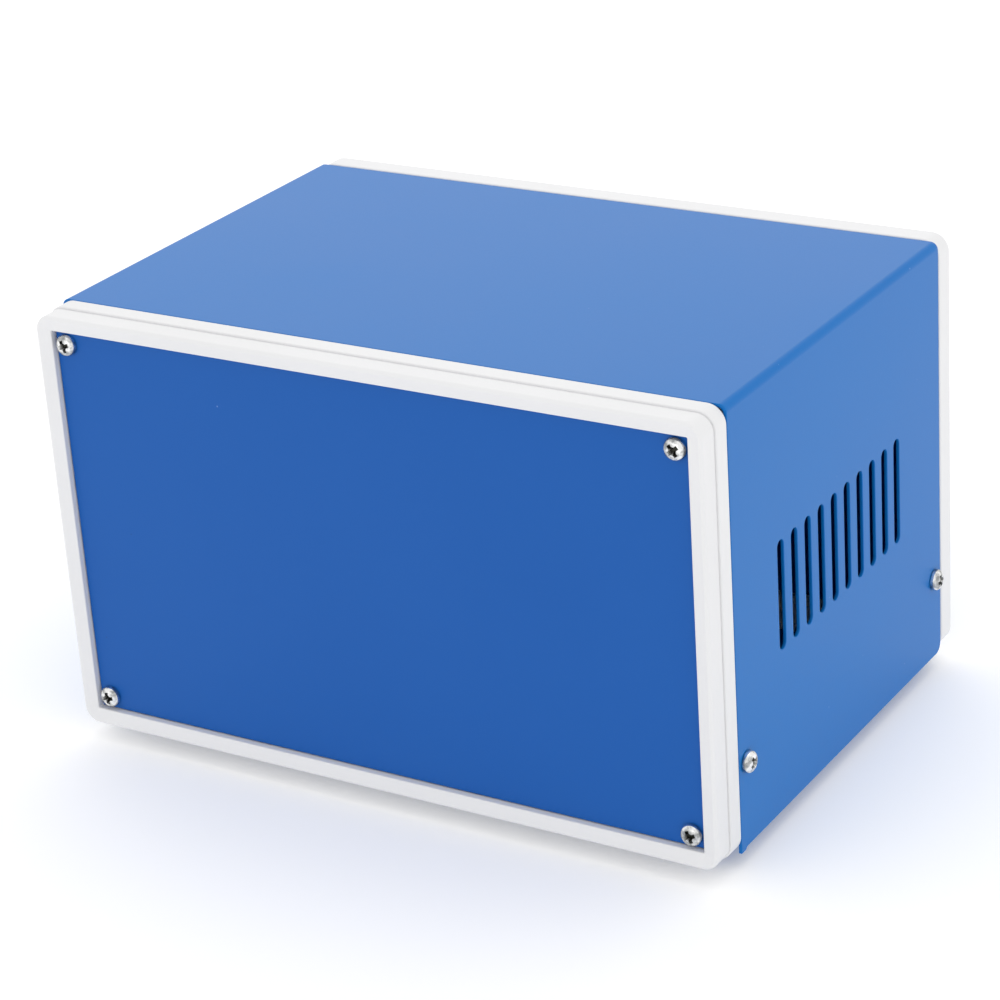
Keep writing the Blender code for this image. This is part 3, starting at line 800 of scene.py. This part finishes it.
def screwTree():
    t = ShapeTree("panHeadScrew", headRadius="float", headHeight="float", rimHeight="float",
                  fullness="float", recessSpan="float", recessWidth="float", recessDepth="float",
                  threadRadius="float", threadDepth="float", threadPitch="float",
                  length="float", material="material")
    size = t.size
    headRadius, headHeight, rim = size("headRadius"), size("headHeight"), size("rimHeight")
    blank = t.add("GeometryNodeMeshCylinder", {"fill_type": "TRIANGLE_FAN"},
                  {"Vertices": 64, "Side Segments": 1, "Fill Segments": 14, "Radius": 1.0,
                   "Depth": 2.0})
    x, y, z = t.split(t.add("GeometryNodeInputPosition"))
    away = (x * x + y * y).math("SQRT")
    spread = (away.math("MINIMUM", 1.0) * (math.pi / 2)).math("SINE")
    scale = spread / away.math("MAXIMUM", 0.0001) * headRadius
    full = size("fullness")

    def domeAt(share):  # the head's height at a share of its radius
        left = (1 - share.math("MINIMUM", 1.0) ** full).math("MAXIMUM", 0.0)
        return rim + (headHeight - rim) * left ** (1 / full)

    head = t.add("GeometryNodeSetPosition", None,
                 {"Geometry": blank, "Position": t.vector(x * scale, y * scale,
                                                          domeAt(spread) * (z > 0.0))})
    # cutter: two blades that narrow downwards, and the cone between them
    depth = size("recessDepth")
    tall = depth + 0.6 * mm
    level = headHeight - depth + tall / 2
    blades = []
    for across, along in ((size("recessSpan"), size("recessWidth")),
                          (size("recessWidth"), size("recessSpan"))):
        blade = t.add("GeometryNodeMeshCube", None, {"Size": t.vector(across, along, tall)})
        x, y, z = t.split(t.add("GeometryNodeInputPosition"))
        lower = z < 0.0
        narrow = 1 - lower * 0.5
        blades.append(t.add("GeometryNodeSetPosition", None,
                            {"Geometry": blade,
                             "Position": t.vector(x * narrow, y * narrow, z + level)}))
    cone = t.add("GeometryNodeMeshCone", None,
                 {"Vertices": 8, "Radius Top": size("recessWidth") * 1.15,
                  "Radius Bottom": size("recessWidth") * 0.35, "Depth": tall})
    blades.append(t.add("GeometryNodeTransform", None,
                        {"Geometry": cone, "Translation": t.vector(0.0, 0.0, headHeight - depth),
                         "Rotation": (0.0, 0.0, math.pi / 8)}))
    head = t.add("GeometryNodeMeshBoolean", {"operation": "DIFFERENCE", "solver": "EXACT"},
                 {"Mesh 1": head, "Mesh 2": blades})
    # thread: a ridge that climbs one pitch for each turn, and a narrowed tip
    length, pitch, radius = size("length"), size("threadPitch"), size("threadRadius")
    shank = t.add("GeometryNodeMeshCylinder", {"fill_type": "TRIANGLE_FAN"},
                  {"Vertices": 24, "Side Segments": (length / pitch * 5).math("ROUND"),
                   "Fill Segments": 1, "Radius": 1.0, "Depth": length + rim})
    x, y, z = t.split(t.add("GeometryNodeInputPosition"))
    down = length / 2 + rim / 2 - z  # from the shank's top, which lies in the head
    turn = down / pitch + y.math("ARCTAN2", x) / (2 * math.pi)
    ridge = (turn.math("FRACT") * 2 - 1).math("ABSOLUTE")
    left = (length + rim - down) / (1.0 * mm)
    tip = left.math("MINIMUM", 1.0).math("MAXIMUM", 0.0) * 0.3 + 0.7
    girth = (radius - size("threadDepth") * (1 - ridge)) * tip
    shank = t.add("GeometryNodeSetPosition", None,
                  {"Geometry": shank, "Position": t.vector(x * girth, y * girth, rim - down)})
    whole = t.add("GeometryNodeMeshBoolean", {"operation": "UNION", "solver": "EXACT"},
                  {"Mesh": [head, shank]})
    # painted shade: a mask, 1 deep in the recess and 0 on the dome, stored as cavity for the plating's
    # colour to darken
    x, y, z = t.split(t.add("GeometryNodeInputPosition"))
    share = (x * x + y * y).math("SQRT") / headRadius
    sunk = (domeAt(share) - z - 0.06 * mm) / (0.9 * mm)
    cavity = sunk.math("MINIMUM", 1.0).math("MAXIMUM", 0.0) * (z > rim * 0.8)
    whole = t.add("GeometryNodeStoreNamedAttribute", {"data_type": "FLOAT", "domain": "POINT"},
                  {"Geometry": whole, "Name": "cavity", "Value": cavity})
    whole = t.add("GeometryNodeMergeByDistance", None, {"Geometry": whole, "Distance": weld / 2})
    return t.close(whole)


screw = {
    "headRadius": 3.0 * mm,
    "headHeight": 2.1 * mm,
    "rimHeight": 0.4 * mm,
    "fullness": 2.5,
    "recessSpan": 4.3 * mm,
    "recessWidth": 1.3 * mm,
    "recessDepth": 1.5 * mm,
    "threadRadius": 1.45 * mm,
    "threadDepth": 0.27 * mm,
    "threadPitch": 0.5 * mm,
    "length": 8.0 * mm,
}
screwTurns = {  # degrees, as the screws in sight are turned
    "front_panel_screw_top_left": 20,
    "front_panel_screw_top_right": 38,
    "front_panel_screw_bottom_left": 8,
    "front_panel_screw_bottom_right": 24,
    "cover_screw_right_front": 30,
    "cover_screw_right_rear": 12,
}


outwardAxes = {  # by the start of a screw's name; the others are driven from below
    "front_panel": (0, -1, 0),
    "rear_panel": (0, 1, 0),
    "cover_screw_left": (-1, 0, 0),
    "cover_screw_right": (1, 0, 0),
}


def makeScrews(size):
    master = grow("screwMaster", screwTree(), dict(size, material=screwBright))
    turnOutwards(master.data)
    chance = random.Random(4)
    bodyOf = {node: body for body, nodes in frame["record"]["behaviour"]["bodies"].items()
              for node in nodes}
    for node in sorted(n for n in frame["nodes"] if "_screw_" in n):
        axis = next((Vector(v) for k, v in outwardAxes.items() if node.startswith(k)),
                    Vector((0, 0, -1)))
        low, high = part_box(node)
        reach = (high - low) / 2
        crown = (low + high) / 2 + Vector(a * r for a, r in zip(axis, reach))
        angle = math.radians(screwTurns.get(node, chance.uniform(0, 90)))
        turn = axis.to_track_quat("Z", "Y").to_matrix().to_4x4() @ Matrix.Rotation(angle, 4, "Z")
        mesh = master.data.copy()
        mesh.transform(Matrix.Translation(crown - axis * size["headHeight"]) @ turn)
        piece = bpy.data.objects.new(node + "_fine", mesh)
        scene.collection.objects.link(piece)
        stand(piece, bodyOf[node], "bright_screw", node, angle=28)
    bpy.data.objects.remove(master, do_unlink=True)


makeScrews(screw)


# feet: turned from a section, with a sunk seat for each screw's head

foot = {
    "height": 4.7 * mm,
    "topRadius": 7.0 * mm,
    "bottomRadius": 6.0 * mm,
    "edge": 0.7 * mm,
    "topEdge": 0.2 * mm,
    "sinkEdge": 0.3 * mm,
    "bore": 1.8 * mm,
    "sink": 3.6 * mm,
    "sinkDepth": 2.7 * mm,
    "steps": 56,
}


def makeFeet(size):
    bottom, edge, sink = size["bottomRadius"], size["edge"], size["sink"]
    topEdge, sinkEdge = size["topEdge"], size["sinkEdge"]
    section = [(size["bore"], size["height"]), (size["topRadius"] - topEdge, size["height"]),
               (size["topRadius"], size["height"] - topEdge)]
    section += arcPoints(bottom, edge, edge, 10, -90, 5)
    section += arcPoints(sink + sinkEdge, sinkEdge, sinkEdge, 270, 180, 3)
    section += [(sink, size["sinkDepth"]), (size["bore"], size["sinkDepth"])]
    for label in ("front_left", "front_right", "rear_left", "rear_right"):
        middle = centreOf("foot_" + label)
        mesh = bpy.data.meshes.new("footSection")
        edges = [(i, (i + 1) % len(section)) for i in range(len(section))]
        mesh.from_pydata([(r, 0.0, z) for r, z in section], edges, [])
        base = bpy.data.objects.new("footSeed", mesh)
        scene.collection.objects.link(base)
        turn = base.modifiers.new("turn", "SCREW")
        turn.steps = turn.render_steps = size["steps"]
        turn.use_merge_vertices = True
        turn.merge_threshold = 2.5 * weld
        piece = settle(base, "foot_" + label + "_fine")
        turnOutwards(piece.data)
        piece.data.transform(Matrix.Translation((middle.x, middle.y, 0.0)))
        piece.data.materials.append(footRubber)
        stand(piece, "case", "black_rubber", "foot_" + label)


makeFeet(foot)

for name, node in frame["nodes"].items():  # the nuts keep their CAD shape
    if "_nut_" in name:
        node.data.materials.clear()
        node.data.materials.append(nutZinc)

# camera, floor and lights

shot = {
    "azimuth": 32.523,
    "elevation": 23.728,
    "roll": -3.897,
    "place": (0.4229, -0.66805, 0.4084),
    "lens": 112.70,
}


def makeCamera(size):
    a, e, c = (math.radians(size[k]) for k in ("azimuth", "elevation", "roll"))
    back = Vector((math.sin(a) * math.cos(e), -math.cos(a) * math.cos(e), math.sin(e)))
    right = Vector((math.cos(a), math.sin(a), 0.0))
    up = back.cross(right)
    level, upright = right * math.cos(c) + up * math.sin(c), up * math.cos(c) - right * math.sin(c)
    data = bpy.data.cameras.new("camera")
    data.lens = size["lens"]
    data.clip_start, data.clip_end = 0.05, 50
    camera = bpy.data.objects.new("camera", data)
    scene.collection.objects.link(camera)
    turned = Matrix((level, upright, back)).transposed().to_4x4()
    camera.matrix_world = Matrix.Translation(size["place"]) @ turned
    scene.camera = camera


makeCamera(shot)

studio = {
    "floor": (0.95, 0.95, 0.95),
    "floorShade": (0.94, 0.94, 0.945),
    "floorSize": 30.0,
    "glow": 0.14,
    "sky": (1.0, 1.0, 1.0),
    "skyStrength": 0.96,
}


def makeFloor(size):
    mesh = bpy.data.meshes.new("floor")
    bm = bmesh.new()
    bmesh.ops.create_grid(bm, x_segments=1, y_segments=1, size=size["floorSize"] / 2)
    bm.to_mesh(mesh)
    bm.free()
    floor = bpy.data.objects.new("floor", mesh)
    scene.collection.objects.link(floor)

    def paper(graph, coords):
        tone = noise(graph, coords, 3.0, 2.0)
        return {"Base Color": graph.mixColours(tone, size["floor"], size["floorShade"])}

    mesh.materials.append(surface("paper", paper, sockets={
        "Roughness": 0.9, "Specular IOR Level": 0.1, "Emission Color": (1, 1, 1, 1),
        "Emission Strength": size["glow"]}))


makeFloor(studio)


def softbox(name, place, aim, width, height, power):
    data = bpy.data.lights.new(name, "AREA")
    data.shape = "RECTANGLE"
    data.size, data.size_y, data.energy = width, height, power
    lamp = bpy.data.objects.new(name, data)
    scene.collection.objects.link(lamp)
    lamp.location = place
    lamp.rotation_euler = (Vector(aim) - Vector(place)).to_track_quat("-Z", "Y").to_euler()


softbox("backLeft", (-0.80, 1.25, 0.72), (0, 0, 0.08), 1.6, 0.9, 1.6)
softbox("overhead", (0.05, 0.25, 1.6), (0, 0, 0), 1.6, 1.2, 3.0)
softbox("front", (-0.30, -1.70, 0.45), (0, 0, 0.04), 1.4, 0.6, 1.3)
softbox("right", (1.5, 0.1, 0.7), (0, 0, 0.05), 1.0, 1.0, 0.7)

world = bpy.data.worlds.new("studio")
scene.world = world
world.use_nodes = True
sky = Graph(world.node_tree)
sky.add("ShaderNodeOutputWorld", None, {"Surface": sky.add(
    "ShaderNodeBackground", None, {"Color": (*studio["sky"], 1), "Strength": studio["skyStrength"]})})
scene.view_settings.view_transform = "Standard"
scene.view_settings.look = "None"
